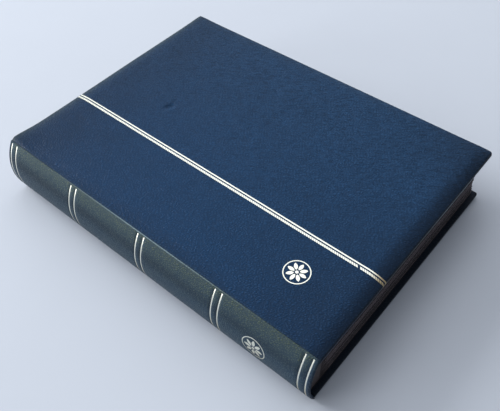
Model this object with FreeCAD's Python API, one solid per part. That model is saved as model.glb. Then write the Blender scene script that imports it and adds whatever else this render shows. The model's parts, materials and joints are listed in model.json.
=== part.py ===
"""Stockbook stamp album: padded leatherette case, rounded hollow spine, and card leaves that turn on linen.

Millimetres. +X runs from the spine to the fore-edge, +Y from tail to head, +Z up out of the table.
The album lies closed on its back cover, with the origin under the middle of its outline.
"""
import FreeCAD, Part
import math
import os

os.makedirs("parts", exist_ok=True)
Vector = FreeCAD.Vector

# Overall sizes of the closed album
ALBUM_HEIGHT = 305.0        # head to tail
COVER_WIDTH = 222.8         # ridge of the spine to the fore-edge
ALBUM_THICKNESS = 50.0      # outside of one cover to the outside of the other
SPINE_BULGE = 9.0           # how far the rounded spine stands out beyond the front ridge
BACK_SHIFT = 2.5            # the back cover lies this much nearer to the spine than the front one

# Layers of a cover, from outside to inside
LEATHERETTE = 0.6
PADDING = 1.5
BOARD = 2.2
ENDPAPER = 0.3
TURN_IN = 15.0              # leatherette folded over the board's edge onto its inside
ENDPAPER_MARGIN = 4.0       # turn-in left showing around the endpaper
COVER_EDGE_ROUND = 2.0      # padded outer edge
COVER_CORNER_ROUND = 2.4    # corner between fore-edge and head or tail
BOARD_SETBACK = 1.6         # board and padding start this far from the ridge
ENDPAPER_SETBACK = 3.0      # endpaper starts this far from the ridge
FOLD_GAP = 0.12             # between the round fold on a ridge and the cover that turns on it

# Spine and binding
SPINE_CARD = 1.2
SPINE_CARD_SETBACK = 4.0    # card ends this far from each ridge, along the curve
SPINE_TURN_IN = 12.0
LINING = 0.4
LINING_GAP = 0.1            # glue line between the lining and the guards
GUARD_START = 3.0           # back of the guards, behind which the spine is hollow
GUARD_WIDTH = 8.0

# Leaves
LEAF_COUNT = 32
BLOCK_GAP = 0.1             # between the stack of guards and each endpaper
HEAD_TAIL_INSET = 4.5       # leaves end short of the covers
FORE_EDGE_INSET = 2.5
BLOCK_ROUND = 6.5           # the round spine draws the block's back and fore-edge in by this at mid-height
HINGE_GAP = 0.3             # linen turns this far in front of the guards
HINGE_LINEN = 0.15
HINGE_LINEN_WIDTH = 13.0    # on the outer leaves, less by the block's rounding on the others
CARD = 0.45
INTERLEAF = 0.04
INTERLEAF_MARGIN = 2.0      # the glassine is this much smaller than its card, all round

# Clear strips that hold the stamps
STRIPS_PER_PAGE = 9
STRIP = 0.08
STRIP_GAP = 5.4             # bare card between one strip and the next
STRIP_SIDE_MARGIN = 6.0
STRIP_FOOT_MARGIN = 4.0     # lowest strip above the tail of the leaf

# Gilt, pressed into the leatherette
GILT = 0.1
GILT_DEPTH = 0.15
RULE_PLACE = 70.9           # middle of the two rules, from the ridge
ROPE_RULE = 1.9
PLAIN_RULE = 0.9
RULE_SPACING = 2.65         # middle to middle
RULE_END_INSET = 2.5
SPINE_PAIRS = 5
SPINE_PAIR_MARGIN = 6.3     # middle of the end pairs, from head and tail
SPINE_LINE_SPACING = 6.0
SPINE_LINE = 1.0
SPINE_LINE_SETBACK = 1.2    # lines end this far from each ridge, along the curve
ORNAMENT_DIAMETER = 19.0
ORNAMENT_RING = 0.7
ORNAMENT_PETALS = 8
ORNAMENT_PETAL_LENGTH = 5.6
ORNAMENT_PETAL_WIDTH = 2.6
ORNAMENT_EYE = 2.4          # diameter of the disc in the middle
COVER_ORNAMENT_X = 41.0     # from the ridge
COVER_ORNAMENT_Y = 48.5     # from the tail
SPINE_ORNAMENT_Y = 45.0     # from the tail

PICK = 0.01                 # closeness at which an edge counts as lying on a face

# Sizes that follow
HALF_HEIGHT = ALBUM_HEIGHT / 2
MIDDLE_X = (COVER_WIDTH - SPINE_BULGE) / 2
COVER_CORE = LEATHERETTE + PADDING + BOARD
COVER = COVER_CORE + LEATHERETTE + ENDPAPER
FOLD_RADIUS = LEATHERETTE / 2
FOLD_CLEAR = FOLD_RADIUS + FOLD_GAP
BLOCK = ALBUM_THICKNESS - 2 * (COVER + BLOCK_GAP)
LEAF_PITCH = BLOCK / LEAF_COUNT
LEAF_HEIGHT = ALBUM_HEIGHT - 2 * HEAD_TAIL_INSET
HINGE_X = GUARD_START + GUARD_WIDTH + HINGE_GAP
STRIP_PITCH = (LEAF_HEIGHT - STRIP_FOOT_MARGIN) / STRIPS_PER_PAGE
STRIP_HEIGHT = STRIP_PITCH - STRIP_GAP
SPINE_PAIR_PITCH = (ALBUM_HEIGHT - 2 * SPINE_PAIR_MARGIN) / (SPINE_PAIRS - 1)


def lean(z):
    """How far the album's section is moved towards the spine at a height, from the front ridge down."""
    return -BACK_SHIFT * (1 - z / ALBUM_THICKNESS)


def rounding(z):
    """How far the back and the fore-edge of the block are drawn in towards the round spine at a height."""
    off_middle = (2 * z - ALBUM_THICKNESS) / BLOCK
    return BLOCK_ROUND * (1 - off_middle**2)


def box(x, y, z):
    """A box from three (low, high) pairs."""
    size = [high - low for low, high in (x, y, z)]
    return Part.makeBox(*size, Vector(x[0], y[0], z[0]))


def save(node, solids):
    """Writes one node, moved so that the origin is under the middle of the album."""
    shape = solids[0] if len(solids) == 1 else Part.makeCompound(solids)
    shape.translate(Vector(-MIDDLE_X, 0, 0))
    shape.exportStep(f"parts/{node}.step")


def slab(start, side, depth, edge_round, corner_round):
    """A cover layer that ends side short of head, tail and fore-edge, rounded at its outer face."""
    end = COVER_WIDTH - side
    half = HALF_HEIGHT - side
    layer = box((start, end), (-half, half), depth)
    corners = [e for e in layer.Edges if is_fore_corner(e, end)]
    layer = layer.makeFillet(corner_round, corners)
    if edge_round:
        rim = [e for e in layer.Edges if is_outer_rim(e, start, depth[0])]
        layer = layer.makeFillet(edge_round, rim)
    return layer


def is_fore_corner(edge, end):
    """Is this an upright edge at the fore-edge?"""
    return edge.BoundBox.ZLength > PICK and edge.BoundBox.XMin > end - PICK


def is_outer_rim(edge, start, depth):
    """Is this an edge of the outer face, other than the one beside the ridge?"""
    return edge.BoundBox.ZMax < depth + PICK and edge.BoundBox.XMax > start + PICK


def cover_layers():
    """Leatherette, padding, board and endpaper of a cover that lies with its outside on the table."""
    half_window = HALF_HEIGHT - TURN_IN
    padding_round = COVER_EDGE_ROUND - LEATHERETTE
    inner_corner = COVER_CORNER_ROUND - LEATHERETTE
    padding_depth = (LEATHERETTE, LEATHERETTE + PADDING)
    board_depth = (padding_depth[1], COVER_CORE)
    turn_in_depth = (COVER_CORE, COVER_CORE + LEATHERETTE)
    sheet_depth = (turn_in_depth[1], COVER)
    padding = slab(BOARD_SETBACK, LEATHERETTE, padding_depth, padding_round, inner_corner)
    board = slab(BOARD_SETBACK, LEATHERETTE, board_depth, 0, inner_corner)
    whole = slab(FOLD_CLEAR, 0, (0, turn_in_depth[1]), COVER_EDGE_ROUND, COVER_CORNER_ROUND)
    joint = box((0, BOARD_SETBACK), (-HALF_HEIGHT, HALF_HEIGHT), (LEATHERETTE, turn_in_depth[1]))
    window = box((BOARD_SETBACK, COVER_WIDTH - TURN_IN), (-half_window, half_window), turn_in_depth)
    leatherette = whole.cut([padding, board, joint, window])
    half_sheet = HALF_HEIGHT - ENDPAPER_MARGIN
    fill = box((ENDPAPER_SETBACK, COVER_WIDTH - TURN_IN), (-half_window, half_window), turn_in_depth)
    sheet = box((ENDPAPER_SETBACK, COVER_WIDTH - ENDPAPER_MARGIN), (-half_sheet, half_sheet), sheet_depth)
    endpaper = sheet.fuse(fill).removeSplitter()
    return {"leatherette": leatherette, "padding": padding, "board": board, "endpaper": endpaper}


def turned_over(shape):
    """A cover layer as it lies on the front of the album."""
    return shape.mirror(Vector(0, 0, ALBUM_THICKNESS / 2), Vector(0, 0, 1))


def rosette(x, y, z, thickness):
    """A round gilt ornament of a ring, petals and an eye, standing on z."""
    middle = Vector(x, y, z)
    up = Vector(0, 0, thickness)
    ring = Part.makeCylinder(ORNAMENT_DIAMETER / 2, thickness, middle)
    ring = ring.cut(Part.makeCylinder(ORNAMENT_DIAMETER / 2 - ORNAMENT_RING, thickness, middle))
    eye = Part.makeCylinder(ORNAMENT_EYE / 2, thickness, middle)
    inner = ORNAMENT_EYE / 2 + ORNAMENT_RING
    outer = inner + ORNAMENT_PETAL_LENGTH
    solids = [ring, eye]
    for petal in range(ORNAMENT_PETALS):
        turn = 360.0 * petal / ORNAMENT_PETALS
        root = Vector(x + inner, y, z)
        tip = Vector(x + outer, y, z)
        left = Vector(x + (inner + outer) / 2, y + ORNAMENT_PETAL_WIDTH / 2, z)
        right = Vector(left.x, y - ORNAMENT_PETAL_WIDTH / 2, z)
        sides = [Part.Arc(root, right, tip).toShape(), Part.Arc(tip, left, root).toShape()]
        solid = Part.Face(Part.Wire(sides)).extrude(up)
        solid.rotate(middle, Vector(0, 0, 1), turn)
        solids.append(solid)
    return solids


def front_gilt():
    """Rules and ornament of the front cover: the gilt solids, and the grooves pressed for them."""
    floor = ALBUM_THICKNESS - GILT_DEPTH
    half_rule = HALF_HEIGHT - RULE_END_INSET
    places = ((RULE_PLACE - RULE_SPACING / 2, ROPE_RULE), (RULE_PLACE + RULE_SPACING / 2, PLAIN_RULE))
    rules = []
    grooves = []
    for place, width in places:
        across = (place - width / 2, place + width / 2)
        rules.append(box(across, (-half_rule, half_rule), (floor, floor + GILT)))
        grooves.append(box(across, (-half_rule, half_rule), (floor, ALBUM_THICKNESS)))
    ornament_y = COVER_ORNAMENT_Y - HALF_HEIGHT
    ornament = rosette(COVER_ORNAMENT_X, ornament_y, floor, GILT)
    grooves += rosette(COVER_ORNAMENT_X, ornament_y, floor, GILT_DEPTH)
    return rules, ornament, grooves


class SpineCurve:
    """The circle that the middle of the spine's leatherette follows, from the back fold to the front fold."""

    def __init__(self):
        self.front = Vector(0, 0, ALBUM_THICKNESS - FOLD_RADIUS)
        self.back = Vector(-BACK_SHIFT, 0, FOLD_RADIUS)
        chord = self.front - self.back
        middle = (self.front + self.back) * 0.5
        out = Vector(-chord.z, 0, chord.x).normalize()
        rise = SPINE_BULGE - FOLD_RADIUS + middle.x
        half = chord.Length / 2
        self.radius = (half**2 + rise**2) / (2 * rise)
        self.centre = middle - out * (self.radius - rise)
        self.start = self.angle_of(self.front)
        self.end = self.angle_of(self.back)

    def angle_of(self, point):
        """Angle of a point about the centre, from +X towards +Z, in 0 to 360 degrees."""
        arm = point - self.centre
        return math.degrees(math.atan2(arm.z, arm.x)) % 360

    def point(self, radius, angle):
        """The point at a radius and an angle, in the plane of the section."""
        turn = math.radians(angle)
        return self.centre + Vector(radius * math.cos(turn), 0, radius * math.sin(turn))

    def shell(self, outer, inner, setback, along):
        """A curved sheet between two radii, set back along the curve at both ends, over a stretch of Y."""
        back_off = math.degrees(setback / self.radius)
        first, last = self.start + back_off, self.end - back_off
        middle = (first + last) / 2
        outside = Part.Arc(*[self.point(outer, a) for a in (first, middle, last)])
        inside = Part.Arc(*[self.point(inner, a) for a in (last, middle, first)])
        ends = [self.end_edge(outer, inner, last, setback), self.end_edge(inner, outer, first, setback)]
        wire = Part.Wire([outside.toShape(), ends[0], inside.toShape(), ends[1]])
        wire.translate(Vector(0, along[0], 0))
        return Part.Face(wire).extrude(Vector(0, along[1] - along[0], 0))

    def end_edge(self, here, there, angle, setback):
        """The end of a sheet: a half-round fold on the ridge itself, or a straight cut short of it."""
        a, b = self.point(here, angle), self.point(there, angle)
        if setback:
            return Part.makeLine(a, b)
        side = 1 if here > there else -1
        along = self.point(self.radius, angle + side * 90) - self.centre
        tip = (a + b) * 0.5 + along.normalize() * FOLD_RADIUS
        return Part.Arc(a, tip, b).toShape()


def spine_pieces():
    """Leatherette and card of the spine, with its gilt lines and ornament."""
    curve = SpineCurve()
    outer = curve.radius + FOLD_RADIUS
    inner = curve.radius - FOLD_RADIUS
    card_inner = inner - SPINE_CARD
    turned_inner = card_inner - LEATHERETTE
    card_end = HALF_HEIGHT - LEATHERETTE
    card = curve.shell(inner, card_inner, SPINE_CARD_SETBACK, (-card_end, card_end))
    turn_ins = []
    for side in (-1, 1):
        cap = sorted((side * card_end, side * HALF_HEIGHT))
        flange = sorted((side * (HALF_HEIGHT - SPINE_TURN_IN), side * HALF_HEIGHT))
        turn_ins.append(curve.shell(inner, turned_inner, SPINE_CARD_SETBACK, cap))
        turn_ins.append(curve.shell(card_inner, turned_inner, SPINE_CARD_SETBACK, flange))
    lines = []
    grooves = []
    floor = outer - GILT_DEPTH
    ornament_y = SPINE_ORNAMENT_Y - HALF_HEIGHT
    ornament_reach = ORNAMENT_DIAMETER / 2 + ORNAMENT_RING
    band_ends = {-HALF_HEIGHT, ornament_y - ornament_reach, ornament_y + ornament_reach, HALF_HEIGHT}
    for pair in range(SPINE_PAIRS):
        middle = (pair - (SPINE_PAIRS - 1) / 2) * SPINE_PAIR_PITCH
        for side in (-1, 1):
            place = middle + side * SPINE_LINE_SPACING / 2
            along = (place - SPINE_LINE / 2, place + SPINE_LINE / 2)
            lines.append(curve.shell(floor + GILT, floor, SPINE_LINE_SETBACK, along))
            grooves.append(curve.shell(outer, floor, SPINE_LINE_SETBACK, along))
            band_ends.update(along)
    length = (-HALF_HEIGHT, HALF_HEIGHT)
    foil = curve.shell(floor + GILT, floor, SPINE_LINE_SETBACK, length)
    pressed = curve.shell(outer, floor, SPINE_LINE_SETBACK, length)
    stamps = spine_stamps(ornament_y)
    ornament = [foil.common(stamp).Solids[0] for stamp in stamps]
    grooves += [pressed.common(stamp).Solids[0] for stamp in stamps]
    # Bands from groove to groove keep each curved face simple.
    ends = sorted(band_ends)
    bands = [curve.shell(outer, inner, 0, along) for along in zip(ends, ends[1:])]
    leatherette = bands[0].fuse(bands[1:] + turn_ins).cut(grooves)
    return leatherette, card, lines, ornament


def spine_stamps(y):
    """The ornament as prisms that reach right through the outside of the spine, facing along X."""
    stamps = rosette(0, 0, 0, SPINE_BULGE)
    for stamp in stamps:
        stamp.rotate(Vector(), Vector(0, 1, 0), -90)
        stamp.translate(Vector(0, y, ALBUM_THICKNESS / 2))
    return stamps


def leaf_height(number):
    """Height of a leaf's middle. Leaf 1 lies under the front cover."""
    return ALBUM_THICKNESS - COVER - BLOCK_GAP - LEAF_PITCH * (number - 0.5)


def guard_back(number):
    """Place of the back of one guard."""
    middle = leaf_height(number)
    return GUARD_START + lean(middle) - rounding(middle)


def guards():
    """A stack of card guards, one for each leaf, that holds the leaves a pitch apart at the back."""
    half = LEAF_HEIGHT / 2
    stack = []
    for number in range(1, LEAF_COUNT + 1):
        middle = leaf_height(number)
        front = GUARD_START + GUARD_WIDTH + lean(middle)
        depth = (middle - LEAF_PITCH / 2, middle + LEAF_PITCH / 2)
        stack.append(box((guard_back(number), front), (-half, half), depth))
    return stack


def lining():
    """Linen glued over the back of the guards, following their round."""
    half = LEAF_HEIGHT / 2
    backs = [guard_back(number) for number in range(1, LEAF_COUNT + 1)]
    # Where two guards meet, the linen passes behind the one that stands out further.
    places = [min(pair) for pair in zip(backs[:1] + backs, backs + backs[-1:])]
    heights = [leaf_height(number + 0.5) for number in range(1, LEAF_COUNT)]
    heights = [ALBUM_THICKNESS - COVER] + heights + [COVER]
    near = [Vector(x - LINING_GAP, -half, z) for x, z in zip(places, heights)]
    far = [point - Vector(LINING, 0, 0) for point in near]
    face = Part.Face(Part.makePolygon(near + far[::-1] + near[:1]))
    return face.extrude(Vector(0, LEAF_HEIGHT, 0))


def hinge_linen(x, end, z):
    """The linen that a leaf turns on, round at its root, where its axis is."""
    half = LEAF_HEIGHT / 2
    radius = HINGE_LINEN / 2
    corners = [Vector(x, -half, z + radius), Vector(end, -half, z + radius),
               Vector(end, -half, z - radius), Vector(x, -half, z - radius)]
    edges = [Part.makeLine(corners[n], corners[n + 1]) for n in range(3)]
    edges.append(Part.Arc(corners[3], Vector(x - radius, -half, z), corners[0]).toShape())
    return Part.Face(Part.Wire(edges)).extrude(Vector(0, LEAF_HEIGHT, 0))


def leaf(number):
    """One leaf: linen, card, the strips of both its pages, and the glassine that lies on its front page."""
    z = leaf_height(number)
    hinge = HINGE_X + lean(z)
    start = hinge + HINGE_LINEN_WIDTH - rounding(z)
    end = COVER_WIDTH + lean(z) - FORE_EDGE_INSET - rounding(z)
    half = LEAF_HEIGHT / 2
    top, bottom = z + CARD / 2, z - CARD / 2
    solids = [hinge_linen(hinge, start, z), box((start, end), (-half, half), (bottom, top))]
    across = (start + STRIP_SIDE_MARGIN, end - STRIP_SIDE_MARGIN)
    for strip in range(STRIPS_PER_PAGE):
        foot = STRIP_FOOT_MARGIN - half + strip * STRIP_PITCH
        along = (foot, foot + STRIP_HEIGHT)
        solids.append(box(across, along, (top, top + STRIP)))
        solids.append(box(across, along, (bottom - STRIP, bottom)))
    inset = half - INTERLEAF_MARGIN
    glassine = (start + INTERLEAF_MARGIN, end - INTERLEAF_MARGIN)
    solids.append(box(glassine, (-inset, inset), (top + STRIP, top + STRIP + INTERLEAF)))
    return solids


def main():
    rules, ornament, grooves = front_gilt()
    for name, layer in cover_layers().items():
        front = turned_over(layer)
        if name == "leatherette":
            front = front.cut(grooves)
        save(f"front_{name}", [front])
        layer.translate(Vector(-BACK_SHIFT, 0, 0))
        save(f"back_{name}", [layer])
    save("front_gilt_rules", rules)
    save("front_ornament", ornament)
    leatherette, card, lines, spine_ornament = spine_pieces()
    save("spine_leatherette", [leatherette])
    save("spine_card", [card])
    save("spine_gilt_lines", lines)
    save("spine_ornament", spine_ornament)
    save("spine_lining", [lining()])
    save("binding_guards", guards())
    for number in range(1, LEAF_COUNT + 1):
        save(f"leaf_{number:02d}", leaf(number))


main()
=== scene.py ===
"""Looks of a stockbook stamp album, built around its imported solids.

Lengths in the mesh code are millimetres in the frame of the solids, and become metres when a piece is made.
"""

import json
import math
from functools import partial

import bpy
import numpy as np
from bpy.props import FloatProperty, FloatVectorProperty, IntProperty, PointerProperty
from mathutils import Matrix, Vector


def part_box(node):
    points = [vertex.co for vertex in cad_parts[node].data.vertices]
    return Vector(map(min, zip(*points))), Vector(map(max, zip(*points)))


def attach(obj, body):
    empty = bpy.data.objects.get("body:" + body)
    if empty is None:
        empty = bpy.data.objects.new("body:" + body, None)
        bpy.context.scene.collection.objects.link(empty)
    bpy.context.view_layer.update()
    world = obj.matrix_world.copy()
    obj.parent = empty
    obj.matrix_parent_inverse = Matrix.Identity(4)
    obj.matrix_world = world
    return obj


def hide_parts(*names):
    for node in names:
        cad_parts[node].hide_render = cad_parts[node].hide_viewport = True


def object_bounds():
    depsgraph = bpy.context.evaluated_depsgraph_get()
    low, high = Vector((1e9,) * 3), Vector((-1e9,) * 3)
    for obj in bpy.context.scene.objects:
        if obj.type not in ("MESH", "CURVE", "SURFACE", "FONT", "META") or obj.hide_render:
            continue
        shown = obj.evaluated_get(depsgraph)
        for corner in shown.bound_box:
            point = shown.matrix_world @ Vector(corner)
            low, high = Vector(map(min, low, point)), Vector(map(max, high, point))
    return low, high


bl_info = {
    "name": "Stamp album",
    "version": (1, 0, 0),
    "blender": (4, 5, 0),
    "location": "View3D > Sidebar > Album",
    "description": "Builds the looks of a padded stockbook stamp album around its solids",
    "category": "Object",
}

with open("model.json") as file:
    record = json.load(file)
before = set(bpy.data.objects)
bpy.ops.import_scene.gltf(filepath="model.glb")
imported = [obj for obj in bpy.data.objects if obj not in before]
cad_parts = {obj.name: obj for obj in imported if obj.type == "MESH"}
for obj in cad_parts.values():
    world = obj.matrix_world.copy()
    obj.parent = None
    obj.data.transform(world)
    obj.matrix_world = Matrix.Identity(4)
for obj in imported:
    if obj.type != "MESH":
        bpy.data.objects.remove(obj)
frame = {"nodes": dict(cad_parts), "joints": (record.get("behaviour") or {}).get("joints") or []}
cad_box = [list(corner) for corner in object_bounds()]

MM = 0.001


def node_box(node):
    """Lowest and highest corner of a solid, in millimetres."""
    low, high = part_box(node)
    return np.array(low) / MM, np.array(high) / MM


def pivot(joint):
    """A point on a joint's axis, in millimetres."""
    found = next(j for j in frame["joints"] if j["name"] == joint)
    return np.array(found["pos_m"]) / MM


FRONT_FOLD = pivot("front_cover_hinge")
BACK_FOLD = pivot("spine_hinge")
ALBUM_TOP = cad_box[1][2] / MM
ALBUM_HALF = cad_box[1][1] / MM
LEATHERETTE = 2 * BACK_FOLD[2]  # the fold's axis is at half the sheet's thickness
LEAF_NAMES = sorted(name for name in frame["nodes"] if name.startswith("leaf_"))


def linear(code):
    """Linear RGBA of an sRGB hex colour."""
    parts = [int(code[n : n + 2], 16) / 255 for n in (0, 2, 4)]
    return [p / 12.92 if p <= 0.04045 else ((p + 0.055) / 1.055) ** 2.4 for p in parts] + [1.0]


def length(name, description, millimetres):
    """A length that a user may change."""
    metres = millimetres * MM
    return FloatProperty(name=name, description=description, default=metres, unit="LENGTH", precision=5)


def how_many(name, description, default, least):
    """A number of like things that a user may change."""
    return IntProperty(name=name, description=description, default=default, min=least)


def colour(name, description, code):
    """A colour that a user may change."""
    rgba = linear(code)
    return FloatVectorProperty(name=name, description=description, default=rgba, size=4, subtype="COLOR")


class AlbumSizes(bpy.types.PropertyGroup):
    """Sizes of the album's looks."""

    pad_roll: length("Padded edge", "Width over which a cover's padding falls away to its edge", 14.0)
    pad_drop: length("Padding drop", "How far the front cover's padding would fall at the very edge", 3.0)
    pad_swell: length("Padding swell", "How far the front cover's padding stands up beyond its ridge", 1.2)
    corner: length("Corner radius", "Rounding of a cover's fore-edge corners", 2.0)
    turn_in: length("Turn-in", "Leatherette folded over onto the inside of a cover", 15.0)
    spine_turn_in: length("Spine turn-in", "Leatherette folded over onto the inside of the spine", 12.0)
    spine_bulge: length("Spine bulge", "How far the spine stands out beyond the front ridge", 9.0)
    spine_card: length("Spine card", "Thickness of the card in the spine", 1.2)
    rule_place: length("Rule place", "Middle of the two cover rules, from the ridge", 70.87)
    rule_spacing: length("Rule spacing", "Middle of one cover rule to the middle of the other", 2.58)
    rope_width: length("Rope rule", "Width of the rope rule", 1.9)
    rope_pitch: length("Rope pitch", "Length of one strand mark of the rope rule", 1.7)
    rope_nick: length("Rope nick", "Place of the rope rule's lost strand, along it from the tail", 21.5)
    plain_width: length("Plain rule", "Width of the plain rule", 1.15)
    line_width: length("Spine line", "Width of a gilt line on the spine", 1.0)
    line_spacing: length("Line spacing", "Middle to middle of the two lines of a pair", 6.0)
    line_margin: length("Line margin", "Middle of the end pairs, from head and tail", 6.3)
    line_pairs: how_many("Line pairs", "Pairs of gilt lines on the spine", 5, least=2)
    ornament: length("Ornament", "Diameter of the rosettes", 19.0)
    cover_ornament_x: length("Cover ornament across", "Middle of the cover's rosette, from the ridge", 41.0)
    cover_ornament_y: length("Cover ornament up", "Middle of the cover's rosette, from the tail", 48.5)
    spine_ornament_y: length("Spine ornament up", "Middle of the spine's rosette, from the tail", 45.0)
    press: length("Gilt depth", "How deep the gilt is pressed into the leatherette", 0.12)
    strips: how_many("Strips", "Clear strips on a page", 9, least=1)
    strip_gap: length("Strip gap", "Bare card between one strip and the next", 5.4)
    grain: length("Grain", "Width of a pebble of the leatherette's grain", 1.4)


class AlbumColours(bpy.types.PropertyGroup):
    """Colours of the album's looks."""

    leatherette: colour("Leatherette", "Navy coating of the case", "204165")
    # Faded leatherette, which also stands in for a painted sheen
    fade_and_sheen: colour("Worn leatherette", "What light and handling have faded the leatherette to", "525F54")
    # A pale colour painted as a highlight on folds and edges
    painted_sheen: colour("Rubbed leatherette", "What its folds and edges are rubbed to", "93AAB8")
    # Painted shade: a dark colour mixed into the leatherette where it stands in shade
    soil: colour("Soil", "Grime on the leatherette", "16181C")
    gilt: colour("Gilt", "Stamping foil", "F0F2E6")
    # Painted shade on the gilt, darker and warmer
    shaded_gilt: colour("Dull gilt", "Stamping foil where handling has dulled it", "BFA878")
    leaf: colour("Leaf", "Dyed card of the leaves", "232225")
    edge: colour("Leaf edges", "Cut edges of the leaves", "80767A")
    # Darker than the leaves' edges, as painted shade
    guards: colour("Guards", "Cut edges of the guards, which lie deeper in the back", "4C4648")
    linen: colour("Linen", "Linen of the leaf hinges and the lining", "3A3638")
    endpaper: colour("Endpaper", "Paper pasted inside the covers", "1D1E22")
    glassine: colour("Glassine", "Interleaves", "E4E6E2")
    film: colour("Clear film", "Strips that hold the stamps", "F4F7F8")
    board: colour("Greyboard", "Boards of the covers and card of the spine", "8C867C")
    foam: colour("Foam", "Padding of the covers", "D9D5C8")
    floor: colour("Floor", "Studio floor", "C6CDD8")
    room: colour("Room", "Light of the room around the stage", "D8DEE8")


# Mesh making


def spaced(start, end, step):
    """Even places from start to end, about a step apart."""
    return np.linspace(start, end, max(1, round((end - start) / step)) + 1)


def places(*lists):
    """Sorted places from several lists, each once."""
    return np.unique(np.round(np.concatenate([np.ravel(part) for part in lists]), 4))


def bell(offset, width):
    """1 at no offset, falling away softly over a width."""
    return np.exp(-((offset / width) ** 2))


def ramp(value, start, end):
    """0 up to the start, rising evenly to 1 at the end. The end may be the lower one."""
    return np.clip((value - start) / (end - start), 0, 1)


def quads(index):
    """Quads of a grid of point numbers, facing up where rows run along +Y and columns along +X."""
    corners = [index[:-1, :-1], index[:-1, 1:], index[1:, 1:], index[1:, :-1]]
    return np.stack([c.ravel() for c in corners], 1).tolist()


def solid(top, bottom, ring=False):
    """Points and faces of a closed form between two grids of points. A ring's columns run all round."""
    rows, columns = top.shape[:2]
    count = rows * columns
    index = np.arange(count).reshape(rows, columns)
    sheet = np.hstack([index, index[:, :1]]) if ring else index
    faces = quads(sheet) + [[n + count for n in reversed(face)] for face in quads(sheet)]
    if ring:
        rims = [list(sheet[0]), list(sheet[-1][::-1])]
    else:
        around = [index[0, :-1], index[:-1, -1], index[-1, :0:-1], index[:0:-1, 0]]
        loop = np.concatenate(around).tolist()
        rims = [loop + loop[:1]]
    for rim in rims:
        faces += [[p, p + count, q + count, q] for p, q in zip(rim, rim[1:])]
    return np.concatenate([top.reshape(-1, 3), bottom.reshape(-1, 3)]), faces


def joined(forms):
    """Several forms as one set of points and faces."""
    points, faces, base = [], [], 0
    for form_points, form_faces in forms:
        points.append(form_points)
        faces += [[int(n) + base for n in face] for face in form_faces]
        base += len(form_points)
    return np.concatenate(points), faces


def make_piece(name, body, form, materials, shades=None):
    """A smooth piece that rides on a body. shades gives the number of each face's material."""
    points, faces = form
    mesh = bpy.data.meshes.new(name)
    mesh.from_pydata((points * MM).tolist(), [], [[int(n) for n in face] for face in faces])
    for material in materials:
        mesh.materials.append(material)
    if shades is not None:
        mesh.polygons.foreach_set("material_index", shades)
    mesh.polygons.foreach_set("use_smooth", [True] * len(mesh.polygons))
    mesh.update()
    if mesh.validate():
        raise RuntimeError(f"{name} has faces that don't hold together")
    piece = bpy.data.objects.new(name, mesh)
    bpy.context.scene.collection.objects.link(piece)
    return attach(piece, body)


def sharpen(piece, degrees):
    """Keeps edges that turn by more than an angle crisp."""
    piece.data.set_sharp_from_angle(angle=math.radians(degrees))


def thicken(piece, thickness, edge):
    """Makes a sheet of a piece's surface, inwards from it, with its cut edges rounded."""
    shell = piece.modifiers.new("Sheet", "SOLIDIFY")
    shell.thickness = thickness * MM
    shell.offset = -1
    shell.use_even_offset = True
    rounding = piece.modifiers.new("Cut edges", "BEVEL")
    rounding.width = edge * MM
    rounding.segments = 3
    rounding.limit_method = "ANGLE"
    rounding.angle_limit = math.radians(65)


def store(piece, **layers):
    """Stores values at each point of a piece, such as how worn it is."""
    for name, values in layers.items():
        layer = piece.data.attributes.new(name, "FLOAT", "POINT")
        layer.data.foreach_set("value", np.asarray(values, np.float32))


GROOVE_WALL = 0.12  # width of the side of a groove that is pressed for gilt
SNAP = 0.01  # places nearer to each other than this count as the same


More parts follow.
